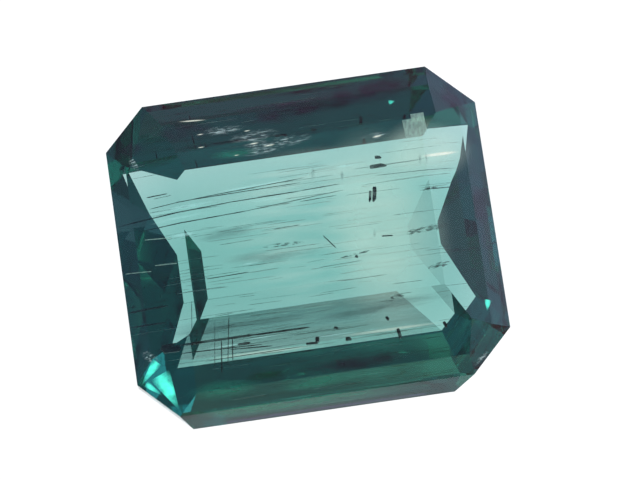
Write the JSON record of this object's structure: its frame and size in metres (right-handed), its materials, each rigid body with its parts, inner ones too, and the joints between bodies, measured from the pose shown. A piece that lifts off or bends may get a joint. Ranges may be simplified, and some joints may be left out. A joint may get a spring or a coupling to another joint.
{
  "type": "emerald gemstone",
  "caption": "Loose step-cut green gemstone with cut corners, a flat table on top and a long pavilion that ends in a small flat culet; clear inside, with growth needles.",
  "frame": {"origin": "centre of the bounding box in plan, at the level of the culet facet that the stone rests on", "axes": "+Z from the culet to the table; +X along the long side, towards the right of the picture; +Y towards its top"},
  "size_m": [0.0168, 0.0148, 0.0077],
  "materials": {
    "emerald": "polished, see-through blue-green crystal with faint scratches"
  },
  "bodies": {
    "root": {"emerald": "emerald"}
  },
  "joints": []
}
